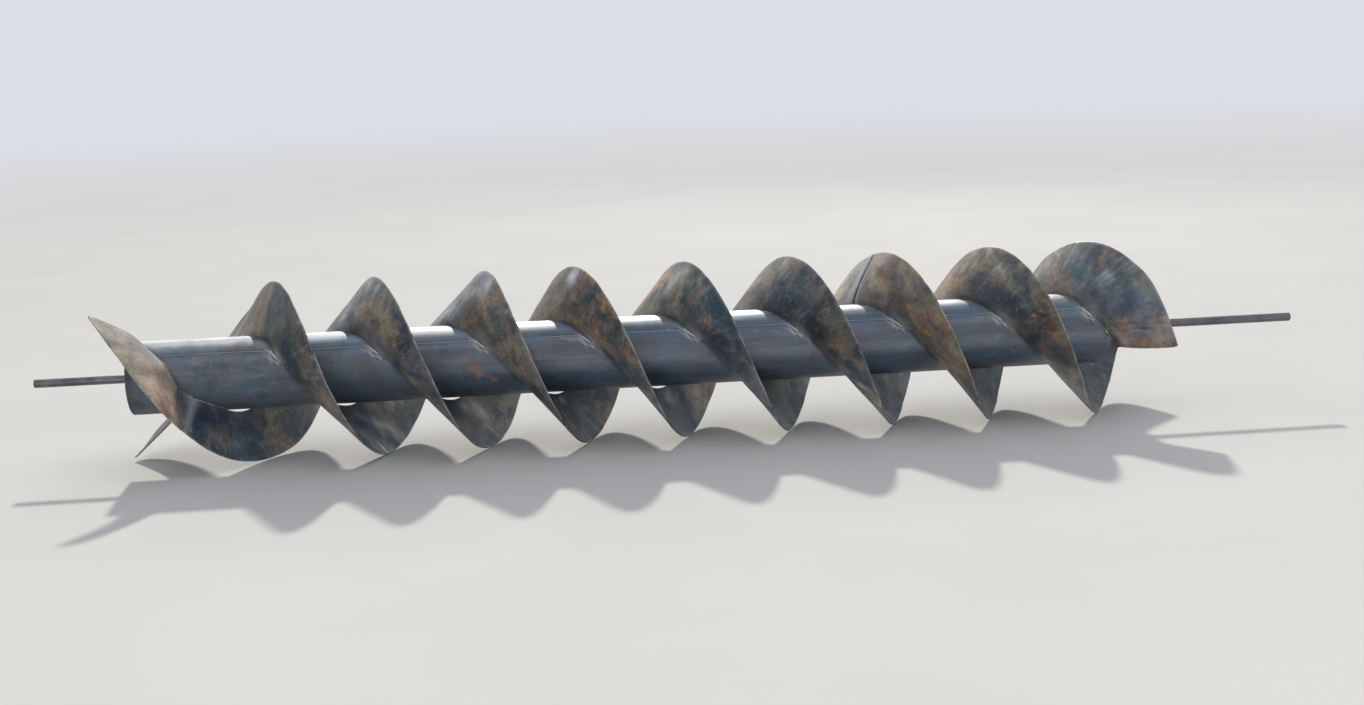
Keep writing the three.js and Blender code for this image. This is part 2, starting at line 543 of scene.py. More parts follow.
@dataclass(frozen=True)
class TubeFinish:
    """Drawn steel tube: dark blue-grey with fine lines along it, scorched and rusty near the roots, with a
    painted highlight along its top and ends, and painted reflections and painted shade in bands round it.
    """

    name: str = "drawn_tube"
    dark: Colour = (0.080, 0.108, 0.143)
    light: Colour = (0.126, 0.153, 0.186)
    scorch_and_painted_shade: Colour = (0.045, 0.048, 0.052)
    tint: Colour = (0.060, 0.085, 0.170)
    rust: Colour = (0.255, 0.140, 0.108)
    bare: Colour = (0.42, 0.43, 0.44)
    # Colours laid only as painted light: painted shade, a painted reflection of the room and a painted
    # reflection of the floor
    painted_shade_navy: Colour = (0.016, 0.024, 0.050)
    blue: Colour = (0.09, 0.16, 0.22)
    reflected_floor: Colour = (0.42, 0.40, 0.37)
    chalk: Colour = (0.60, 0.59, 0.56)
    # A painted reflection of the floor, for a band along the near side's middle
    floor_reflection_grey: Colour = (0.104, 0.104, 0.110)
    bluish: Colour = (0.90, 1.04, 1.10)
    reddish: Colour = (1.09, 0.965, 0.94)
    # Bands at fixed turns round the tube: painted reflections and painted shade
    reflection_stripes: tuple[tuple, ...] = (
        (0.150, 0.010, painted_shade_navy, 0.32, 0.0), (0.176, 0.011, bare, 0.34, 0.06), (0.199, 0.013, painted_shade_navy, 0.06, 0.42),
        (0.249, 0.010, painted_shade_navy, 0.0, 0.22), (0.276, 0.010, bare, 0.0, 0.12), (0.305, 0.026, blue, 0.24, 0.26),
        (0.338, 0.014, reflected_floor, 0.05, 0.12),
    )
    scratches: tuple[tuple, ...] = (
        (0.1975, 0.0012, scorch_and_painted_shade), (0.2005, 0.0006, bare), (0.2035, 0.0014, scorch_and_painted_shade),
    )

    def make(self) -> bpy.types.Material:
        """Lays out the nodes.

        Each stripe lies at a fixed turn round the tube, as a painted reflection, and the dark ones as painted
        shade. Its row is the place round the tube, the half width, the shade, and the share at the tail and
        at the drive end. The scratches' rows are the place, the half width and the shade.

        Returns:
            The material, which reads the attributes arc, turn, root, rust, tone, mark, gap and edge.
        """
        b = Bench(self.name, self.dark)
        arc, turn = b.read("arc"), b.read("turn")
        ways = ("arc", "turn")
        lines, broad = b.grain(ways, (1.2, 210), 6, 0.65, 0.15), b.grain(ways, (1.6, 26), 3, 0.5, 0.2)
        smear, dabs = b.grain(ways, (14, 44), 6, 0.68, 0.5), b.grain(("gap", "turn"), (165, 38), 5, 0.66, 0.5)
        cloud, grit = b.noise(11, 6, 0.6, 0.3), b.noise(210, 4, 0.6)

        # Drawn steel, paler toward both ends and along the top as a painted highlight, with a band of painted
        # reflection along the near side, bands of painted reflections and painted shade round it, and
        # scratches along it
        b.coat(self.light, broad.span(0.3, 0.7))
        # Paler all round toward both ends: a painted highlight
        b.coat(self.bare, arc.span(-1.3, -0.6, 0.20, 0.0))
        b.coat(self.bare, arc.span(0.5, 1.0, 0.0, 0.12))
        # Paler along the top, more toward the drive end: a painted highlight
        paler = turn.span(0.146, 0.172, 1.0, 0.0) * turn.span(0.05, 0.10)
        b.coat(self.bare, paler * arc.span(-0.6, 0.3, 0.10, 0.90))
        # A lighter grey band along the near side's middle: a painted reflection of the floor
        reflection_band = turn.span(0.200, 0.235) * turn.span(0.260, 0.290, 1.0, 0.0)
        b.coat(self.floor_reflection_grey, reflection_band * cloud.span(0.30, 0.60, 0.30, 0.65))
        # Bands at fixed turns round the tube: painted reflections and painted shade
        for place, half, shade, at_tail, at_drive in self.reflection_stripes:
            stripe = turn.off(place).span(0.0, 2 * half, 1.0, 0.0)
            b.coat(shade, stripe * arc.span(-0.9, 0.2, at_tail, at_drive))
        b.coat(self.scorch_and_painted_shade, lines.span(0.52, 0.72, 0.0, 0.25))
        b.coat(self.bare, lines.span(0.42, 0.26, 0.0, 0.10))
        wandering = turn + b.noise(2.4, 2).span(0.2, 0.8, -0.5, 0.5) * 0.006
        for place, half, shade in self.scratches:
            line = wandering.off(place).span(half * 0.4, half * 1.6, 0.55, 0.0)
            b.coat(shade, line * cloud.span(0.3, 0.6, 0.25, 1.0))

        # Dirt in clouds and smears, and scorched bands at the roots
        b.coat(self.scorch_and_painted_shade, cloud.span(0.5, 0.70, 0.0, 0.45))
        b.coat(self.scorch_and_painted_shade, smear.span(0.52, 0.70, 0.0, 0.36))
        b.coat(self.bare, smear.span(0.46, 0.30, 0.0, 0.16))
        b.coat(self.bare, b.noise(95, 5, 0.6).span(0.60, 0.72, 0.0, 0.18))
        b.coat(b.mix(b.noise(17, 4, 0.6, 0.6).span(0.36, 0.64), self.bluish, self.reddish), 1.0, "MULTIPLY")
        scorched = b.read("root") * cloud.span(0.3, 0.6, 0.35, 0.9)
        b.coat(b.mix(b.noise(30, 3).span(0.4, 0.6), self.scorch_and_painted_shade, self.tint), scorched)

        # Rust, a spot of painted shade by the drive end, edges rubbed bright with a painted highlight line,
        # and the white strokes at the stitch welds
        eaten = b.noise(30, 8, 0.68, 0.5) + b.read("rust") * 0.22
        rust = eaten.span(0.64, 0.84) * b.noise(70, 6, 0.7, 0.4).span(0.36, 0.58, 0.4, 1.0)
        mark = (b.read("mark") * dabs.span(0.44, 0.58)).clamped()
        b.coat(self.rust, rust * 0.85)
        # Painted shade by the drive end, where the painted light rows are below zero
        b.coat(self.painted_shade_navy, (b.read("painted_light") * -1.0).clamped())
        # Bare steel on the end chamfers, and a thin painted highlight line near the drive end
        b.coat(self.bare, b.read("edge") * 0.8)
        b.coat(self.chalk, mark * 0.7)

        metal = rust.span(0.0, 1.0, 0.72, 0.1) * mark.span(0.0, 1.0, 1.0, 0.3)
        rough = lines.span(0.3, 0.7, 0.41, 0.50) + rust * 0.3 + arc.span(-1.3, 0.1, 0.18, 0.0)
        b.relief((lines, 0.00006), (grit, 0.00010), (rust, 0.0003), (cloud, 0.0004))
        return b.finish(metal, rough + scorched * 0.15 + mark * 0.15)


@dataclass(frozen=True)
class BarFinish:
    """Drawn round bar: grey steel with turning lines, thin scale and rust near its end."""

    name: str = "shaft_bar"
    steel: Colour = (0.15, 0.155, 0.17)
    scale: Colour = (0.085, 0.09, 0.095)
    rust: Colour = (0.22, 0.12, 0.07)

    def make(self) -> bpy.types.Material:
        """Lays out the nodes.

        Returns:
            The material, which reads the attributes arc, turn and rust.
        """
        b = Bench(self.name, self.steel)
        ways = ("arc", "turn")
        lathe, drawn = b.grain(ways, (700, 30), 3, 0.6), b.grain(ways, (9, 420), 5, 0.6, 0.2)
        cloud = b.noise(26, 6, 0.62, 0.4)
        rust = (b.noise(48, 7, 0.66, 0.3) + b.read("rust") * 0.34).span(0.66, 0.80)
        b.coat(self.scale, cloud.span(0.30, 0.70))
        b.coat(self.scale, drawn.span(0.5, 0.7, 0.0, 0.5))
        b.coat(self.rust, rust * 0.9)
        b.relief((lathe, 0.00005), (drawn, 0.00008), (rust, 0.0003))
        return b.finish(rust.span(0.0, 1.0, 0.85, 0.1), cloud.span(0.3, 0.7, 0.30, 0.44) + rust * 0.35)


@dataclass(frozen=True)
class WeldFinish:
    """Hand-laid weld: dark between its ripples, silvery on them, with some rust and pale slag dust."""

    name: str = "weld_bead"
    hollow: Colour = (0.06, 0.055, 0.05)
    crest: Colour = (0.36, 0.35, 0.34)
    slag: Colour = (0.55, 0.54, 0.52)
    rust: Colour = (0.24, 0.12, 0.06)

    def make(self) -> bpy.types.Material:
        """Lays out the nodes.

        Returns:
            The material, which reads the attribute ripple.
        """
        b = Bench(self.name, self.hollow)
        cloud, grit = b.noise(60, 6, 0.62, 0.3), b.noise(380, 4, 0.6)
        rust = b.noise(42, 6, 0.66, 0.4).span(0.54, 0.68)
        b.coat(self.crest, b.read("ripple").span(0.2, 0.9))
        b.coat(self.slag, cloud.span(0.54, 0.66, 0.0, 0.8))
        b.coat(self.rust, rust * 0.8)
        b.relief((grit, 0.0003), (cloud, 0.0005))
        return b.finish(rust.span(0.0, 1.0, 0.7, 0.1), grit.span(0.3, 0.7, 0.32, 0.6))


@dataclass(frozen=True)
class FloorFinish:
    """Plain matt pale floor, which fades far away into the air of the room."""

    name: str = "pale_floor"
    light: Colour = (0.455, 0.45, 0.44)
    shade: Colour = (0.440, 0.435, 0.425)
    air: Colour = (0.89, 0.92, 0.985)
    air_strength: float = 0.80
    fade: tuple[float, float] = (3.0, 16.0)

    def make(self) -> bpy.types.Material:
        """Lays out the nodes: floor paint near the middle, mixed with the air's glow by the distance from it.

        Returns:
            The material.
        """
        b = Bench(self.name, self.shade)
        b.coat(self.light, b.noise(1.5, 4).span(0.35, 0.65))
        b.finish(0.0, 1.0)
        b.shader.inputs["Specular IOR Level"].default_value = 0.0
        away = b.node("ShaderNodeVectorMath", {0: b.place}, "Value", operation="LENGTH")
        glow = b.node("ShaderNodeEmission", {"Color": self.air, "Strength": self.air_strength})
        layers = {0: away.span(*self.fade), 1: Signal(b, b.shader.outputs[0]), 2: glow}
        b.feed(b.output.inputs["Surface"], b.node("ShaderNodeMixShader", layers))
        return b.material


# Pieces


@dataclass
class Workshop:
    """Keeps the finishes, puts every finished piece on the one body and reports it."""

    plate: bpy.types.Material
    tube: bpy.types.Material
    bar: bpy.types.Material
    weld: bpy.types.Material
    triangles: int = 0

    def deliver(self, piece: bpy.types.Object, finish: bpy.types.Material, slot: str, *nodes: str) -> None:
        """Dresses a piece, puts it on the body, hides the nodes of the solids that it replaces, and logs it.

        Args:
            piece: The finished object.
            finish: Its material.
            slot: The record's material slot; not used.
            nodes: Nodes of the solids that it replaces, if any.
        """
        piece.data.materials.append(finish)
        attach(piece, "root")
        if nodes:
            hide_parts(*nodes)
        count = sum(len(face.vertices) - 2 for face in piece.data.polygons)
        self.triangles += count
        LOG.info("%s: %d triangles", piece.name, count)


@dataclass
class Flight:
    """One helical flight, made of plates of about half a turn that are butt welded end to end.

    Its middle surface stands at x(phase, radius) = root + (edge - root) * share(radius). root and
    edge are an even helix, plus rows of how far the hand-pulled plate lies from it.

    The other rows: looks are phase, warmth, paleness and rust. Warmth is partly real scale colour and
    partly a painted cool shade on the bottoms. Paleness is partly real pale scale and dust and partly a
    painted sheen on the crests' shoulders, and below zero it is painted shade. Bands are a seam's phase,
    an offset, a half width and a strength. The painted light rows and the rust spots are phase, radius,
    half sizes in millimetres along and across the plate (one for both on a spot) and a strength; a
    painted light row is a painted highlight or reflection above zero and painted shade below zero. Dips
    are phase, half width and depth.
    Long welds are the phases of both ends. By a seam's number, strong seams give the strength of
    its bead, and skewed seams the degrees that its root stands off.
    """

    name: str
    behind: float
    seed: float
    edge: Rows
    root: Rows
    seams: tuple[float, ...]
    looks: Rows
    bands: Rows
    spots: Rows
    painted_light_rows: Rows
    long_welds: Rows
    strong_seams: dict[int, float]
    skewed_seams: dict[int, float] = field(default_factory=dict)
    dips: Rows = ()
    slanted_start: bool = False
    thickness: float = 3.0
    edge_round: float = 0.7
    across: int = 30
    column_mm: float = 4.2
    miss: float = 0.9
    bead_half_width: float = 2.4
    bead_proud: float = 0.18
    strong_wider: float = 1.8
    strong_prouder: float = 0.92
    plain_strength: float = 0.08
    stitch_every: float = 90.0
    stitch_phase: float = 150.0
    stitch_half: float = 13.0
    stitch_leg: float = 3.0
    stitch_end_leg: float = 0.8
    stitch_ground: float = 0.7
    stitch_limits: tuple[float, float] = (-1255.0, 1020.0)
    steps: list[float] = field(default_factory=list)

    def __post_init__(self) -> None:
        """Settles how far each plate's end misses its neighbour, from the flight's seed."""
        random = np.random.default_rng(int(self.seed * 100))
        self.steps = random.uniform(-self.miss, self.miss, len(self.seams)).tolist()

    def lean_share(self, radius: Grid) -> Grid:
        """How far ahead of its root the plate stands: tan d - d with cos d = root radius / r, as a share.

        Args:
            radius: Distances from the axis, in millimetres.

        Returns:
            0 at the root and 1 at the solids' outer radius.
        """
        turn = np.arccos(np.clip(ROOT_RADIUS / radius, 0, 1))
        full = math.acos(ROOT_RADIUS / SOLID_RADIUS)
        return (np.tan(turn) - turn) / (math.tan(full) - full)

    def along(self, phase: Grid, radius: Grid) -> Grid:
        """The true middle surface: root + (edge - root) * share(radius).

        Args:
            phase: Phases in degrees.
            radius: Distances from the axis, in millimetres.

        Returns:
            Places along the axis, in millimetres.
        """
        even = FIRST_ORIGIN + PITCH * (phase - self.behind) / 360
        root = even - LEAN + read_rows(self.root, phase, smooth=KINK_DEG)
        outer = even + read_rows(self.edge, phase, smooth=KINK_DEG)
        return root + (outer - root) * self.lean_share(radius)

    def root_along(self, phase: Grid) -> Grid:
        """Places of the root along the axis, in millimetres."""
        return self.along(phase, np.full_like(phase, ROOT_RADIUS))

    def warp(self, phase: Grid, share: Grid, piece: int) -> Grid:
        """How far the plate is out of true along the axis, in millimetres.

        Slow waves grow toward the edge, and each plate's ends swing a little to either side, so
        that neighbouring plates don't quite meet: share * (waves + step * cos(pi * t)) + ripple.

        Args:
            phase: Phases in degrees.
            share: 0 at the root to 1 at a full edge.
            piece: The plate's number in the flight, from 0.

        Returns:
            The offsets, toward the drive end.
        """
        turn, seed = np.radians(phase), self.seed
        waves = 1.1 * np.sin(1.3 * turn + seed) + 0.8 * np.sin(3.1 * turn + 2 * seed)
        ripple = 0.4 * np.sin(8 * turn + 6 * share + seed) * share * (1 - share) * 4
        ripple += share * (0.42 * np.sin(14.3 * turn + seed) + 0.24 * np.sin(23.7 * turn + 5 * share))
        start, end = self.seams[piece], self.seams[piece + 1]
        swing = self.steps[piece] * np.cos(math.pi * (phase - start) / (end - start))
        return share * (waves + swing) + ripple

    def outer_radius(self, phase: Grid, piece: int) -> Grid:
        """The outer edge's radius: full, less slow waves, dips and the slanted cuts at the ends.

        Args:
            phase: Phases in degrees.
            piece: The plate's number in the flight, from 0.

        Returns:
            Distances from the axis, in millimetres.
        """
        turn, seed = np.radians(phase), self.seed
        less = 0.6 * (1 + np.sin(2.3 * turn + 3 * seed)) + 0.35 * (1 + np.sin(7.1 * turn + seed))
        less = less + abs(self.steps[piece]) * 0.6
        for centre, width, depth in self.dips:
            less = less + depth * hump(phase, centre, width)
        share = np.minimum(1.0, (self.seams[-1] - phase) / SLANT_DEG)
        if self.slanted_start:
            share = np.minimum(share, (phase - self.seams[0]) / SLANT_DEG)
        narrowest = ROOT_RADIUS + SLANT_LEFT
        return narrowest + (REACH - less - narrowest) * np.clip(share, 0, 1) ** SLANT_HOLLOW

    def root_radius(self, phase: Grid) -> Grid:
        """The root's radius: on the tube, but off it by a bell under the tube in the first turns.

        Args:
            phase: Phases in degrees.

        Returns:
            Distances from the axis, in millimetres.
        """
        under = hump(np.mod(phase, 360), SLIT_PHASE, SLIT_HALF_DEG)
        under = under * (phase > SLITS_FROM) * (phase < SLITS_TO)
        first = hump(phase, FIRST_SLIT_PHASE, FIRST_SLIT_HALF_DEG) * (phase < 0)
        return ROOT_RADIUS + SLIT_WIDTH * np.clip(under + first, 0, 1)

    def surface(self, phase: Grid, share: Grid, piece: int) -> tuple[Grid, Grid]:
        """The plate's middle surface.

        Args:
            phase: Phases in degrees.
            share: 0 at the root to 1 at the edge.
            piece: The plate's number in the flight, from 0.

        Returns:
            Points in metres, and their distances from the axis in millimetres.
        """
        inner = self.root_radius(phase)
        radius = inner + (self.outer_radius(phase, piece) - inner) * share
        full_share = (radius - ROOT_RADIUS) / (REACH - ROOT_RADIUS)
        along = self.along(phase, radius) + self.warp(phase, full_share, piece)
        return round_axis(along, radius, phase), radius

    def normals(self, points: Grid) -> Grid:
        """Unit normals of a grid of points, toward the drive end: the cross of its two tangents."""
        cross = unit(np.cross(np.gradient(points, axis=0), np.gradient(points, axis=1)))
        return cross * np.sign(cross[..., :1].mean())

    def seam_phase(self, index: int, share: Grid) -> Grid:
        """A seam's phase from root to edge: seam + skew * (1 - share)."""
        return self.seams[index] + self.skewed_seams.get(index, 0.0) * (1 - share)

    def plate(self, piece: int) -> bpy.types.Object:
        """Builds one plate: its middle surface moved half a thickness to each face, with rounded edges.

        Args:
            piece: The plate's number in the flight, from 0.

        Returns:
            The plate, with the attributes that its finish reads.
        """
        start, end = self.seams[piece], self.seams[piece + 1]
        columns = int(math.radians(end - start) * MIDDLE_RADIUS / self.column_mm) + 2
        shares = np.linspace(0, 1, self.across + 1)
        nominal, share = np.meshgrid(np.linspace(start, end, columns), shares, indexing="ij")
        first = self.seam_phase(piece, share) + SEAM_HALF_GAP_DEG
        last = self.seam_phase(piece + 1, share) - SEAM_HALF_GAP_DEG
        phase = first + (last - first) * (nominal - start) / (end - start)
        middle, radius = self.surface(phase, share, piece)
        half = self.normals(middle) * self.thickness / 2 * METRE
        rim_turn = np.radians(phase[:, -1])
        radial = np.stack([0 * rim_turn, np.cos(rim_turn), np.sin(rim_turn)], -1)
        back = middle[:, -1] - radial * self.edge_round * METRE
        tail_face, drive_face = middle - half, middle + half
        tail_face[:, -1] = back - half[:, -1]
        drive_face[:, -1] = back + half[:, -1]
        rim = [middle[:, -1] + half[:, -1] * side for side in (-RIM_SHARE, RIM_SHARE)]
        loop = np.concatenate([tail_face, np.stack(rim, 1), drive_face[:, ::-1]], axis=1)

        def spread(values: Grid) -> Grid:
            """Values of the middle surface, carried to the ring of points round the section."""
            return np.concatenate([values, values[:, -1:], values[:, -1:], values[:, ::-1]], axis=1)

        reach, where, look = spread(radius), spread(phase), spread(nominal)
        edge_gap = spread(self.outer_radius(phase, piece)) - reach
        on_rim = np.zeros_like(reach)
        on_rim[:, self.across + 1: self.across + 3] = 1.0
        attributes = {
            "warmth": read_rows(self.looks, look, 1),
            # Warmth and paleness by phase: partly real scale, partly painted cool shade, painted sheen and
            # painted shade
            "pale": read_rows(self.looks, look, 2),
            "rust": read_rows(self.looks, look, 3) + 0.2 * np.exp(-(reach - ROOT_RADIUS) / 25),
            # Painted highlights and reflections above zero, painted shade below zero
            "painted_light": self.patched(self.painted_light_rows, where, reach, -1.0),
            "spot": self.patched(self.spots, where, reach, 0.0),
            "ground": self.ground(where, reach),
            "edge": np.clip(0.35 * np.exp(-edge_gap / 1.4) + on_rim * 0.15, 0, 1),
            "root": hump(reach, ROOT_RADIUS, 11),
            "arc": (np.radians(where) * ARC_RADIUS + self.seed * ARC_SHIFT) * METRE,
            "reach": reach * METRE,
        }
        return make_piece(f"{self.name}_plate_{piece + 1:02d}", loop, self.closed_sweep(columns), attributes)

    def closed_sweep(self, columns: int) -> Faces:
        """Faces of a plate: quads along it, and both ends closed by strips from face to face.

        Args:
            columns: How many sections it has along its length.

        Returns:
            Lists of corner numbers.
        """
        across = self.across
        around = 2 * across + 4
        steps = np.arange(across)
        strip = np.stack([steps, around - 1 - steps, around - 2 - steps, steps + 1], -1)
        last = strip[:, ::-1] + (columns - 1) * around
        tip = [across, across + 3, across + 2, across + 1]
        far_tip = [(columns - 1) * around + corner for corner in tip[::-1]]
        return sweep_faces(columns, around) + strip.tolist() + last.tolist() + [tip, far_tip]

    def patched(self, rows: Rows, phase: Grid, radius: Grid, lowest: float) -> Grid:
        """Sums named patches, and holds the sum between the lowest value and 1.

        Args:
            rows: The painted light and shade rows, or the rust spots.
            phase: Phases in degrees.
            radius: Distances from the axis, in millimetres.
            lowest: The least that the sum can be.

        Returns:
            The sum of a bell for each patch.
        """
        bells = [(*row[:2], math.degrees(row[2] / row[1]), *row[-2:]) for row in rows]
        return np.clip(patches(tuple(bells), phase, radius), lowest, 1)

    def ground(self, phase: Grid, radius: Grid) -> Grid:
        """How much each point was ground bright beside a stitch weld or a seam, from 0 to 1.

        Args:
            phase: Phases in degrees.
            radius: Distances from the axis, in millimetres.

        Returns:
            The sum of a bell at each stitch weld and along each band.
        """
        beside = (ROOT_RADIUS + 4, self.stitch_half, 11, self.stitch_ground)
        total = patches(tuple((place, *beside) for place in self.stitches()), phase, radius)
        for seam, offset, width, strength in self.bands:
            total = total + strength * hump(np.radians(phase - seam) * radius, offset, width)
        return np.clip(total, 0, 1)

    def seam_weld(self, index: int) -> bpy.types.Object:
        """Builds the bead across a seam, from root to edge, standing a little proud of both faces.

        Its section is an oval about the plate's middle, wider and prouder on a strong seam, and ripples
        run along it.

        Args:
            index: The seam's number, from 1.

        Returns:
            The bead.
        """
        seam = np.array(self.seams[index])
        strength = self.strong_seams.get(index, self.plain_strength)
        inner, outer = self.root_radius(seam), self.outer_radius(seam, index)
        radius = np.linspace(inner + 0.5, outer - 0.2, SEAM_STATIONS)
        share = (radius - inner) / (outer - inner)
        near, _ = self.surface(self.seam_phase(index, share), share, index)
        ahead, _ = self.surface(self.seam_phase(index, share) + 0.5, share, index)
        forward = unit(ahead - near)
        normal = np.cross(forward, unit(np.gradient(near, axis=0)))
        ripple = rippled(radius * math.tau / RIPPLE_MM)
        from_end = np.minimum(np.arange(SEAM_STATIONS), np.arange(SEAM_STATIONS)[::-1])
        ends = np.clip(from_end / 3, 0.25, 1)
        wander = 0.4 * np.sin(radius * 0.21 + index)
        wide = (self.bead_half_width + self.strong_wider * strength + wander) * ends
        proud = self.bead_proud + self.strong_prouder * strength
        thick = self.thickness / 2 + proud * (0.65 + 0.35 * ripple) * ends
        turn = all_round(SEAM_RING, math.tau)
        points = near[:, None] + METRE * (
            forward[:, None] * (wide[:, None] * np.cos(turn))[..., None]
            + normal[:, None] * (thick[:, None] * np.sin(turn))[..., None])
        shine = np.repeat(0.45 + 0.2 * ripple - 0.35 * strength, SEAM_RING)
        faces = bar_faces(SEAM_STATIONS, SEAM_RING)
        return make_piece(f"{self.name}_seam_weld_{index:02d}", points, faces, {"ripple": shine})

    def stitches(self) -> list[float]:
        """Places the stitch welds at even phases, where the root lies on the tube.

        Returns:
            The phases of their middles.
        """
        first, last = self.seams[0] + SLANT_DEG, self.seams[-1] - SLANT_DEG
        places = np.arange(self.stitch_phase - 720, last, self.stitch_every)
        along = self.root_along(places)
        inside = (places > first) & (along > self.stitch_limits[0]) & (along < self.stitch_limits[1])
        return places[inside & (self.root_radius(places) < ROOT_RADIUS + 1.0)].tolist()

    def root_weld(self, face: Face) -> bpy.types.Object:
        """Builds the stitch welds along the root on one face, as one piece of many short beads.

        Each bead follows the root's line. Its section is an oval over the corner between plate and
        tube, and it narrows to both ends.

        Args:
            face: Which face of the plate they are on.

        Returns:
            The beads.
        """
        points, faces, shine = [], [], []
        half = self.stitch_half * (1.0 if face is Face.TAIL else 0.85)
        turn = all_round(STITCH_RING, math.tau)
        runs = [(centre - half, centre + half) for centre in self.stitches()] + list(self.long_welds)
        for number, (start, end) in enumerate(runs):
            stations = int((end - start) * 1.3)
            offset = sum(map(len, points))
            phase = np.linspace(start, end, stations)
            swell = 0.5 + 0.5 * np.cos(np.linspace(-math.pi, math.pi, stations))
            ripple = rippled(np.arange(stations) * 2.1)
            wander = 0.35 * np.sin(phase * 2.1 + number)
            size = self.stitch_end_leg + self.stitch_leg * np.sqrt(np.clip(swell, 0, 1)) + wander
            size = (size * (0.88 + 0.12 * ripple))[:, None]
            along = self.root_along(phase) + face.value * self.thickness * 0.55
            beads = round_axis(
                along[:, None] + size * np.cos(turn) * 1.15,
                TUBE_RADIUS + 0.4 + size * np.sin(turn) * 0.85,
                np.repeat(phase[:, None], STITCH_RING, axis=1))
            points.append(beads.reshape(-1, 3))
            faces += [[corner + offset for corner in quad] for quad in bar_faces(stations, STITCH_RING)]
            shine.append(np.repeat(ripple, STITCH_RING))
        name = f"{self.name}_root_weld_{face.name.lower()}"
        return make_piece(name, np.concatenate(points), faces, {"ripple": np.concatenate(shine)})

    def build(self, shop: Workshop) -> None:
        """Builds the plates and welds.

        Args:
            shop: The workshop that gets them.
        """
        for piece in range(len(self.seams) - 1):
            node = f"{self.name}_section_{piece + 1:02d}"
            shop.deliver(self.plate(piece), shop.plate, "flight_steel", node)
        for index in range(1, len(self.seams) - 1):
            shop.deliver(self.seam_weld(index), shop.weld, "flight_steel")
        for face in Face:
            shop.deliver(self.root_weld(face), shop.weld, "flight_steel")


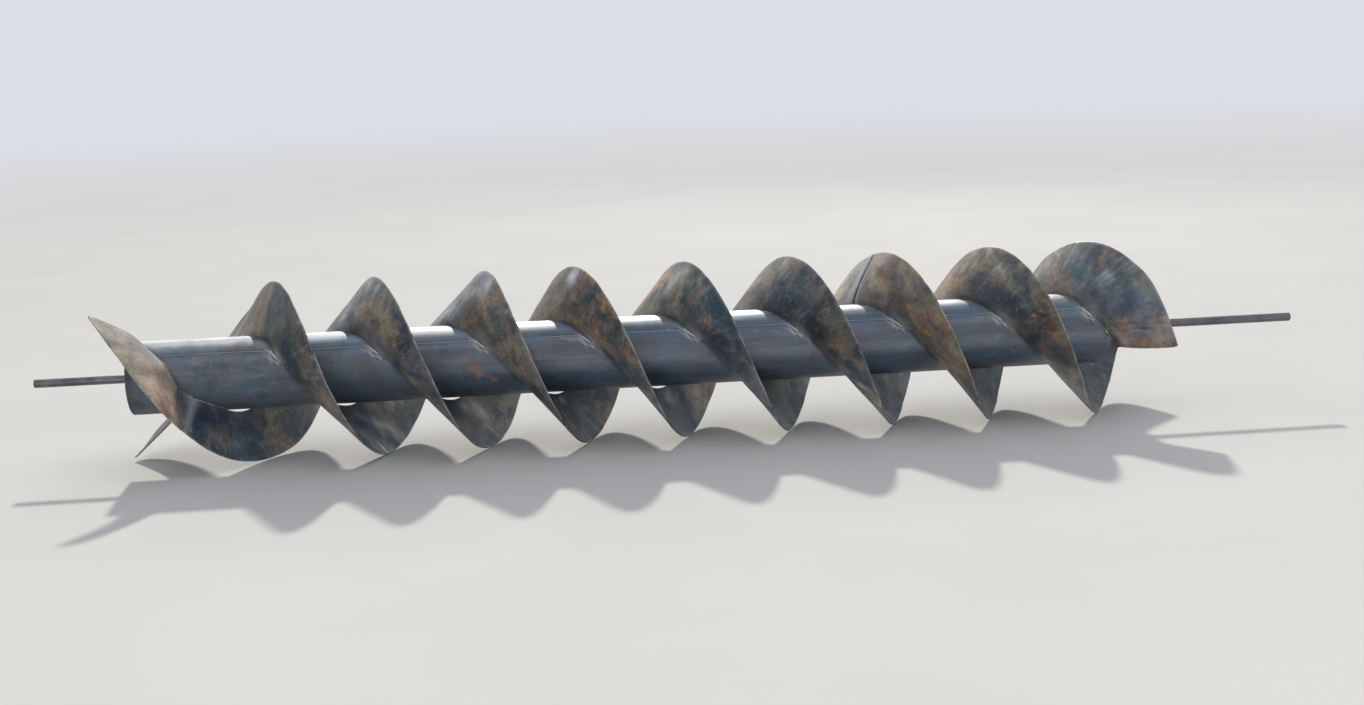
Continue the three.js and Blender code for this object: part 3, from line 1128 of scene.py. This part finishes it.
@dataclass
class HubTube:
    """The tube that carries the flights, with its end plates and the welds at its ends.

    The rows are place along the axis, phase, half sizes in millimetres and degrees, and strength: rust
    stains, painted shade by the drive end, and a thin painted highlight line near the drive end.
    The rust at the roots is its strength and its half width.
    """

    flights: list[Flight]
    tail: float = -1270.0
    drive: float = 1035.0
    bore: float = TUBE_RADIUS - 5.0
    chamfer: float = 1.2
    inset: float = 4.0
    plate_thickness: float = 10.0
    plate_chamfer: float = 0.8
    fitting_gap: float = 0.3
    shaft_radius: float = 10.0
    root_rust: tuple[float, float] = (0.45, 12.0)
    scorched_half: float = 9.0
    end_reach: float = 14.0
    gap_read: float = 60.0
    mark_off: float = -11.0
    mark_half: float = 13.0
    stains: Rows = ((-490.0, 180.0, 18.0, 8.0, 1.3), (-470.0, 191.0, 20.0, 9.0, 1.4),
                    (-449.0, 203.0, 16.0, 8.0, 1.3), (50.0, 189.0, 26.0, 9.0, 0.8),
                    (-1245.0, 208.0, 20.0, 10.0, 0.9))
    # Painted shade by the drive end
    painted_light_rows: Rows = ((1025.0, 190.0, 11.0, 10.0, -1.0),)
    # A thin painted highlight line round the tube near the drive end
    painted_rim_highlight: Rows = ((1010.0, 178.0, 2.6, 20.0, 0.7),)

    def outside(self) -> bpy.types.Object:
        """Builds the tube: a closed profile of (x, radius) corners turned round the axis, bore included.

        Returns:
            The tube, with the attributes that its finish reads.
        """
        corner = TUBE_RADIUS - self.chamfer
        steps = np.linspace(self.tail + self.chamfer, self.drive - self.chamfer, TUBE_STEPS)
        profile = [(self.tail, corner)] + [(step, TUBE_RADIUS) for step in steps] + [(self.drive, corner)]
        profile += [(step, self.bore) for step in np.linspace(self.drive, self.tail, BORE_STEPS)]
        x, r, where = revolve(tuple(profile), TUBE_SIDES)
        x_root, stitch = self.weld_marks(x, where)
        rust = self.root_rust[0] * hump(x_root, 0, self.root_rust[1]) + patches(self.stains, x, where)
        ends = np.exp(-(x - self.tail) / self.end_reach) + np.exp(-(self.drive - x) / self.end_reach)
        on_chamfer = (r < TUBE_RADIUS - 0.5) * (r > self.bore + 0.5)
        attributes = {
            "arc": x * METRE,
            "turn": np.radians(where) * TUBE_RADIUS * METRE,
            "root": np.clip(hump(x_root, 0, self.scorched_half) + 0.5 * ends, 0, 1),
            "rust": np.clip(rust + 0.3 * ends, 0, 1.5),
            # Painted shade by the drive end
            "painted_light": patches(self.painted_light_rows, x, where),
            "mark": stitch,
            "gap": np.clip(x_root, -self.gap_read, self.gap_read) * METRE,
            # Bare end chamfers, and a thin painted highlight line near the drive end
            "edge": on_chamfer * 0.6 + patches(self.painted_rim_highlight, x, where),
        }
        faces = sweep_faces(*x.shape, closed=True)
        return make_piece("hub_tube_skin", round_axis(x, r, where), faces, attributes)

    def weld_marks(self, x: Grid, phase: Grid) -> tuple[Grid, Grid]:
        """Reads how near each point of the tube is to a root, and to a stitch weld's bright mark.

        Args:
            x: Places along the axis, in millimetres.
            phase: Phases from 0 to 360.

        Returns:
            The distance along the axis to the nearest root, and marks from 0 to 1.
        """
        nearest = np.full(x.shape, 1e3)
        marks = np.zeros(x.shape)
        for flight in self.flights:
            stitches = np.array(flight.stitches())
            for turn in range(-1, 5):
                here = phase + 360 * turn
                inside = (here > flight.seams[0]) & (here < flight.seams[-1])
                gap = x - flight.root_along(here)
                nearest = np.where(inside & (np.abs(gap) < np.abs(nearest)), gap, nearest)
                off = np.abs(here[..., None] - stitches).min(-1)
                beside = hump(gap, self.mark_off, self.mark_half)
                marks += 1.5 * inside * beside * hump(off, 0, flight.stitch_half)
        return nearest, np.clip(marks, 0, 1)

    def end_plate(self, name: str, face: float, inward: int) -> bpy.types.Object:
        """Builds an end plate with chamfered corners and a hole for its shaft.

        Args:
            name: The piece's name.
            face: Where its outer face stands along the axis.
            inward: 1 or -1, the way into the tube.

        Returns:
            The plate, with the attributes that its finish reads.
        """
        hole, rim = self.shaft_radius + self.fitting_gap, self.bore - self.fitting_gap
        cut = self.plate_chamfer
        far = face + inward * self.plate_thickness
        corners = (face + inward * cut, far - inward * cut)
        profile = [(face, r) for r in np.linspace(hole + cut, rim - cut, FACE_STEPS)]
        profile += [(x, rim) for x in corners]
        profile += [(far, r) for r in np.linspace(rim - cut, hole + cut, BACK_STEPS)]
        profile += [(x, hole) for x in corners[::-1]]
        x, r, where = revolve(tuple(profile), DISC_SIDES)
        attributes = {
            "warmth": np.full(x.shape, 0.55), "pale": np.full(x.shape, 0.05), "rust": np.full(x.shape, 0.5),
            "root": hump(r, self.shaft_radius, 6), "arc": np.radians(where) * 0.05, "reach": r * METRE,
        }
        return make_piece(name, round_axis(x, r, where), sweep_faces(*x.shape, closed=True), attributes)

    def ring_weld(self, name: str, face: float, outward: int, radius: float, size: float) -> bpy.types.Object:
        """Builds a weld all round a shaft or an end plate: an oval bead turned round the axis.

        Args:
            name: The piece's name.
            face: The plate's outer face along the axis.
            outward: 1 or -1, the way out of the tube.
            radius: The corner that it fills.
            size: The bead's leg, in millimetres.

        Returns:
            The bead, with ripples all round.
        """
        phase = all_round(max(72, int(radius * 4.2)))
        turn = all_round(RIM_RING, math.tau)
        ripple = rippled(np.radians(phase) * round(radius * 1.1))
        leg = size * (0.85 + 0.15 * ripple + 0.08 * np.sin(np.radians(phase) * 3))[:, None]
        x = face + outward * (leg * np.sin(turn) * 0.8)
        points = round_axis(x, radius + leg * np.cos(turn), np.repeat(phase[:, None], RIM_RING, axis=1))
        shine = {"ripple": np.repeat(ripple, RIM_RING)}
        return make_piece(name, points, sweep_faces(*x.shape, closed=True), shine)

    def build(self, shop: Workshop) -> None:
        """Builds the tube, its end plates and their welds.

        Args:
            shop: The workshop that gets them.
        """
        shop.deliver(self.outside(), shop.tube, "hub_steel", "hub_tube")
        ends = (("tail", self.tail + self.inset, 1), ("drive", self.drive - self.inset, -1))
        for end, face, inward in ends:
            plate = self.end_plate(f"{end}_end_disc", face, inward)
            shop.deliver(plate, shop.plate, "end_plate_steel", f"{end}_end_plate")
            rim = self.ring_weld(f"{end}_rim_weld", face, -inward, self.bore - 0.6, 3.2)
            shop.deliver(rim, shop.weld, "end_plate_steel")
            neck = self.ring_weld(f"{end}_neck_weld", face, -inward, self.shaft_radius + 1.2, 3.4)
            shop.deliver(neck, shop.weld, "shaft_steel")


@dataclass
class StubShaft:
    """A thin round bar that sticks out of one end of the tube."""

    end: str
    inside: float
    tip: float
    tip_rust: float
    radius: float = 10.0
    chamfer: float = 1.5
    sides: int = 40

    def bar(self) -> bpy.types.Object:
        """Builds the bar: a profile of (x, radius) from one flat end to the other, chamfered at the tip.

        Returns:
            The bar, with the attributes that its finish reads.
        """
        way = 1 if self.tip > self.inside else -1
        length = abs(self.tip - self.inside)
        steps = np.linspace(0, length - self.chamfer, int(length / 6))
        along = np.append(self.inside + way * steps, self.tip)
        radius = np.append(np.full(len(steps), self.radius), self.radius - self.chamfer * 0.8)
        x, where = np.meshgrid(along, all_round(self.sides), indexing="ij")
        attributes = {
            "arc": x * METRE,
            "turn": np.radians(where) * self.radius * METRE,
            "rust": self.tip_rust * np.exp(-np.abs(self.tip - x) / 45) + 0.25,
        }
        points = round_axis(x, np.broadcast_to(radius[:, None], x.shape), where)
        return make_piece(f"{self.end}_shaft_bar", points, bar_faces(*x.shape), attributes)

    def build(self, shop: Workshop) -> None:
        """Builds the bar and hands it to the workshop."""
        shop.deliver(self.bar(), shop.bar, "shaft_steel", f"{self.end}_stub_shaft")


@dataclass
class Studio:
    """The wide pale floor, a soft key light high behind the runner, a pale even room and the camera.

    The soft lights' rows are name, place, width and height in metres, power in watts and beam in degrees.
    """

    floor_radius: float = 80.0
    floor_drop: float = 0.0002
    key_height: float = 36.0
    key_turn: float = -2.0
    key_softness: float = 3.0
    key_power: float = 3.9
    key_colour: Colour = (1.0, 0.955, 0.86)
    soft_colour: Colour = (0.95, 0.97, 1.0)
    floor_finish: FloorFinish = FloorFinish()
    soft_lights: tuple[tuple, ...] = (
        ("low_front_light", (-0.4, -7.5, 0.7), (9.0, 0.9), 13.0, 50.0),
        ("overhead_light", (0.2, -1.7, 4.8), (6.0, 2.4), 54.0, 180.0),
        ("back_light", (1.7, 5.0, 3.2), (3.0, 1.0), 50.0, 180.0),
    )
    camera_place: tuple[float, float, float] = (-0.365, -4.033, 0.974)
    target: tuple[float, float, float] = (0.0, 0.0, 0.2)
    roll: float = -0.0367
    lens: float = 46.0
    sensor: float = 36.0

    def floor(self) -> None:
        """Builds the floor: a disc of rings whose radii grow as powers, fine near the middle."""
        radius = np.geomspace(0.05, self.floor_radius, FLOOR_RINGS)
        r, t = np.meshgrid(radius, all_round(FLOOR_SIDES, math.tau), indexing="ij")
        points = np.stack([r * np.cos(t), r * np.sin(t), np.full_like(r, -self.floor_drop)], -1)
        faces = bar_faces(FLOOR_RINGS, FLOOR_SIDES)[:-1]
        mesh = bpy.data.meshes.new("studio_floor")
        mesh.from_pydata(points.reshape(-1, 3).tolist(), [], [face[::-1] for face in faces])
        mesh.materials.append(self.floor_finish.make())
        floor = add_object("studio_floor", mesh)

    def hang(self, light: bpy.types.Light, place: Vector, target: Vector, colour: Colour) -> None:
        """Hangs a light.

        Args:
            light: The light.
            place: Where it hangs, in metres.
            target: What it is turned toward, in metres.
            colour: Its colour.
        """
        light.color = colour
        lamp = add_object(light.name, light)
        lamp.location = place
        lamp.rotation_euler = (place - target).to_track_quat("Z", "Y").to_euler()

    def lights(self) -> None:
        """Hangs the key light behind the runner, and fills the room with even pale light."""
        key = bpy.data.lights.new("key_light", "SUN")
        key.energy = self.key_power
        key.angle = math.radians(self.key_softness)
        height, turn = math.radians(self.key_height), math.radians(self.key_turn)
        level = math.cos(height)
        place = Vector((level * math.sin(turn), level * math.cos(turn), math.sin(height)))
        self.hang(key, place, Vector(), self.key_colour)
        for name, place, size, power, beam in self.soft_lights:
            light = bpy.data.lights.new(name, "AREA")
            light.shape = "RECTANGLE"
            light.size, light.size_y = size
            light.energy = power
            light.spread = math.radians(beam)
            self.hang(light, Vector(place), Vector(self.target), self.soft_colour)
        world = bpy.data.worlds.new("studio_air")
        world.use_nodes = True
        air = world.node_tree.nodes["Background"]
        air.inputs["Color"].default_value = (*self.floor_finish.air, 1.0)
        air.inputs["Strength"].default_value = self.floor_finish.air_strength
        bpy.context.scene.world = world

    def camera(self) -> None:
        """Sets the camera at the fitted place, aimed and rolled as the picture is."""
        place, target = Vector(self.camera_place), Vector(self.target)
        ahead = (target - place).normalized()
        level = ahead.cross(Vector((0, 0, 1))).normalized()
        upright = level.cross(ahead)
        right = math.cos(self.roll) * level + math.sin(self.roll) * upright
        up = math.cos(self.roll) * upright - math.sin(self.roll) * level
        data = bpy.data.cameras.new("view")
        data.lens = self.lens
        data.sensor_width = self.sensor
        camera = add_object("view", data)
        camera.matrix_world = Matrix.Translation(place) @ Matrix((right, up, -ahead)).transposed().to_4x4()
        bpy.context.scene.camera = camera

    def build(self) -> None:
        """Sets up the floor, the lights and the camera."""
        self.floor()
        self.lights()
        self.camera()
        bpy.context.scene.view_settings.view_transform = "Standard"


def first_flight() -> Flight:
    """Lists the driving rows of the flight whose short first piece is bent back over the tail end.

    Returns:
        The flight.
    """
    return Flight(
        name="flight_a",
        behind=0.0,
        seed=1.7,
        edge=((-235, -195), (-65, 0), (300, 5), (395, -25), (640, -12), (700, 0), (1320, 0), (1400, 38)),
        root=((-205, 0), (-165, -28), (-130, 0), (1335, 0), (1465, -46)),
        seams=(-255, -155, 35, 215, 395, 575, 755, 935, 1115, 1295, 1465),
        slanted_start=True,
        # Low warmth and paleness below zero on the bottoms are painted shade; paleness on the crests'
        # shoulders is partly a painted sheen
        looks=(
            (-255, 0.9, -0.05, 0.1), (-225, 1.0, -0.08, 0.15), (-198, 1.0, 0.42, 0.1),
            (-175, 1.0, 0.82, 0.1), (-160, 1.0, 0.90, 0.2), (-157, 0.9, 0.20, 0.3), (-150, 0.0, -0.15, 0.1),
            (-105, 0.1, -0.04, 0.1), (-75, 0.4, 0.04, 0.2), (-45, 0.4, 0.34, 0.2), (60, 0.8, 0.36, 0.25),
            (85, 0.7, 0.32, 0.2), (110, 0.5, 0.12, 0.3), (150, 0.5, 0.06, 0.4), (200, 0.7, 0.30, 0.3),
            (235, 0.2, -0.25, 0.2), (262, 0.0, -0.25, 0.1), (288, 0.2, 0.38, 0.1), (320, 0.3, 0.18, 0.2),
            (420, 0.9, 0.22, 0.5), (445, 0.9, 0.12, 0.6), (465, 0.8, -0.03, 0.8), (510, 0.6, 0.03, 0.6),
            (555, 0.6, 0.30, 0.4), (600, 0.2, -0.22, 0.2), (645, 0.1, -0.15, 0.1), (665, 0.7, 0.34, 0.1),
            (690, 0.8, 0.46, 0.1), (770, 0.9, 0.22, 0.6), (800, 0.8, 0.14, 0.6), (825, 0.3, -0.14, 0.2),
            (880, 0.2, -0.42, 0.5), (915, 0.5, 0.28, 0.5), (990, 0.1, -0.22, 0.1), (1035, 0.0, 0.32, 0.1),
            (1110, 1.0, -0.02, 0.7), (1160, 0.85, 0.06, 0.6), (1190, 0.4, -0.08, 0.6),
            (1215, 0.2, -0.12, 0.5), (1245, 0.5, -0.02, 0.9), (1275, 0.6, 0.16, 0.5),
            (1300, 0.6, 0.85, 0.3), (1340, 0.1, -0.55, 0.1), (1400, 0.0, -0.48, 0.1),
            (1465, 0.5, 0.10, 0.4),
        ),
        strong_seams={1: 0.5},
        skewed_seams={1: -17.0},
        # Painted highlights and reflections where the strength is above zero, painted shade where it is below
        painted_light_rows=(
            (75, 125, 18, 24, 0.6), (100, 115, 12, 14, 0.3), (-138, 118, 52, 36, -0.95),
            (-146, 150, 16, 46, -0.7), (-92, 126, 60, 30, -0.35), (101, 190, 22, 14, 0.5),
            (254, 129, 11, 14, -0.9), (266, 158, 11, 16, -0.9), (274, 192, 9, 16, -0.7),
            (281, 190, 4, 22, 0.55), (272, 110, 12, 12, 0.45), (286, 140, 12, 30, 0.5),
            (450, 185, 22, 24, 0.7), (462, 150, 10, 16, 0.3), (600, 150, 30, 40, -0.3),
            (633, 116, 14, 20, 0.4), (636, 176, 20, 24, -0.4), (805, 190, 20, 14, 0.3),
            (1185, 175, 30, 18, 0.25), (1035, 180, 20, 24, 0.2), (855, 120, 14, 20, 0.25),
            (552, 112, 16, 18, 0.5), (562, 168, 7, 16, 0.3), (568, 200, 7, 16, 0.4), (919, 132, 7, 16, 0.5),
            (929, 166, 8, 18, 0.65), (936, 204, 8, 18, 0.75), (1286, 116, 7, 14, 0.4),
            (1299, 150, 8, 16, 0.4), (1309, 192, 8, 18, 0.4), (1125, 118, 12, 14, -0.3),
        ),
        long_welds=((-168.0, -122.0),),
        bands=(
            (-153, 0, 7, 0.6), (35, 0, 6, 0.3), (395, 0, 6, 0.3), (755, -4, 7, 0.35), (1115, 0, 6, 0.15),
        ),
        spots=(
            (-225, 140, 24, 0.25), (-200, 168, 20, 0.30), (-176, 150, 24, 0.30), (-168, 186, 22, 0.55),
            (-167, 150, 16, 0.4), (463, 145, 18, 0.6), (528, 180, 16, 0.7), (505, 130, 14, 0.6),
            (814, 196, 14, 0.5), (891, 164, 18, 0.6), (905, 190, 14, 0.6), (1175, 171, 16, 0.35),
            (1196, 136, 18, 0.4), (1244, 139, 14, 0.75), (1251, 174, 18, 0.8), (1230, 190, 16, 0.5),
        ),
    )


def second_flight() -> Flight:
    """Lists the driving rows of the flight half a turn behind, which starts square on the tube.

    Returns:
        The flight.
    """
    return Flight(
        name="flight_b",
        behind=180.0,
        seed=4.1,
        edge=(
            (-50, -130), (40, 5), (90, 18), (320, 12), (415, 20), (500, -4), (700, 0), (900, -10),
            (1230, -18), (1400, -6), (1490, -22), (1580, 16), (1625, 4),
        ),
        root=((-75, 60), (115, 32), (190, 0), (1515, 0), (1645, -46)),
        seams=(-75, 75, 255, 435, 615, 795, 975, 1155, 1335, 1515, 1645),
        # Low warmth and paleness below zero on the bottoms are painted shade; paleness on the crests'
        # shoulders is partly a painted sheen
        looks=(
            (-75, 0.6, 0.10, 0.4), (60, 0.9, 0.02, 0.25), (85, 0.8, -0.12, 0.3), (115, 0.5, -0.36, 0.4),
            (150, 0.4, -0.28, 0.4), (200, 0.6, 0.24, 0.4), (240, 0.3, -0.05, 0.1), (280, 0.1, 0.02, 0.1),
            (310, 0.2, 0.54, 0.1), (430, 0.8, 0.32, 0.3), (455, 0.6, 0.10, 0.4), (480, 0.7, 0.02, 0.6),
            (545, 0.7, 0.42, 0.7), (600, 0.0, -1.2, 0.1), (645, 0.1, -0.22, 0.2), (680, 0.4, 0.05, 0.2),
            (780, 1.0, 0.25, 0.9), (794, 1.0, 0.28, 0.9), (796, 0.5, 0.20, 0.5), (812, 0.6, 0.02, 0.5),
            (840, 0.2, -0.08, 0.3), (890, 0.0, 0.08, 0.2), (920, 0.0, 0.42, 0.2), (965, 0.0, -0.8, 0.1),
            (1005, 0.0, -0.48, 0.1), (1040, 0.2, 0.36, 0.2), (1100, 0.8, 0.38, 0.4), (1128, 0.9, 0.54, 0.3),
            (1154, 0.5, 0.85, 0.2), (1156, 0.8, 0.75, 0.3), (1168, 0.8, 0.60, 0.6), (1185, 0.9, 0.34, 0.8),
            (1230, 0.8, 0.10, 1.0), (1275, 0.9, 0.52, 0.6), (1300, 0.5, 0.10, 0.3), (1340, 0.1, -0.58, 0.1),
            (1395, 0.0, -0.45, 0.1), (1440, 0.7, 0.30, 0.2), (1514, 0.5, 0.14, 0.2), (1530, 0.4, 0.18, 0.4),
            (1560, 0.1, 0.08, 0.4), (1600, 0.2, 0.14, 0.4), (1625, 0.8, 0.38, 0.6), (1645, 0.9, 0.45, 0.7),
        ),
        strong_seams={7: 1.0},
        # Painted highlights and reflections where the strength is above zero, painted shade where it is below
        painted_light_rows=(
            (312, 130, 18, 30, 0.5), (432, 120, 18, 22, 0.85), (442, 114, 14, 16, 0.5),
            (1150, 125, 10, 20, 0.6), (915, 185, 16, 22, 0.25), (912, 115, 12, 20, -0.35),
            (271, 124, 10, 12, 0.4), (281, 148, 11, 14, 0.5), (288, 180, 8, 18, 0.3),
            (263, 139, 10, 14, -0.9), (271, 166, 11, 16, -0.9), (278, 198, 10, 16, -0.8),
            (262, 192, 3.5, 16, 0.45), (461, 187, 24, 20, 0.6), (448, 165, 20, 18, 0.3),
            (626, 107, 8, 10, 0.4), (642, 183, 16, 20, 0.15), (810, 183, 24, 18, 0.4),
            (806, 150, 14, 20, 0.4), (1515, 180, 44, 26, 0.15), (1585, 165, 30, 20, -0.30),
            (1560, 160, 14, 12, 0.25), (1628, 98, 14, 11, -0.9), (1628, 114, 7, 8, 0.7),
            (1614, 150, 8, 9, 0.5), (1612, 162, 2.5, 14, -0.9), (972, 170, 18, 34, -0.8),
            (925, 160, 7, 16, 0.35), (931, 198, 7, 16, 0.4), (1282, 120, 7, 14, 0.35),
            (1294, 156, 8, 16, 0.4), (1302, 196, 8, 18, 0.45), (1272, 118, 16, 16, 0.15),
        ),
        long_welds=((1590.0, 1642.0),),
        bands=(
            (1155, -13, 9, 1.0), (1155, 7, 2.5, 0.9), (75, 0, 5, 0.25), (435, 0, 5, 0.25),
            (795, -3, 5, 0.3),
        ),
        spots=(
            (163, 170, 14, 0.4), (479, 113, 14, 0.6), (535, 158, 16, 0.6), (505, 180, 12, 0.5),
            (785, 170, 30, 0.6), (866, 136, 20, 0.6), (840, 150, 14, 0.4), (1181, 148, 17, 0.6),
            (1219, 136, 14, 0.5), (1244, 136, 20, 0.95), (1245, 199, 14, 0.8), (1232, 165, 16, 0.7),
            (1262, 170, 14, 0.6), (1550, 183, 22, 0.8), (1609, 130, 18, 0.9), (1627, 152, 22, 0.7),
        ),
        dips=((1118, 34, 9.0),),
        stitch_phase=146.0,
    )


def main() -> None:
    """Builds the runner and the studio round it."""
    logging.basicConfig(level=logging.INFO, format="%(message)s")
    shop = Workshop(
        plate=PlateFinish().make(),
        tube=TubeFinish().make(),
        bar=BarFinish().make(),
        weld=WeldFinish().make(),
    )
    flights = [first_flight(), second_flight()]
    for flight in flights:
        flight.build(shop)
    HubTube(flights).build(shop)
    StubShaft("tail", inside=-1210.0, tip=-1490.0, tip_rust=0.3).build(shop)
    StubShaft("drive", inside=975.0, tip=1490.0, tip_rust=0.2).build(shop)
    Studio().build()
    LOG.info("all pieces: %d triangles", shop.triangles)


if __name__ == "__main__":
    main()
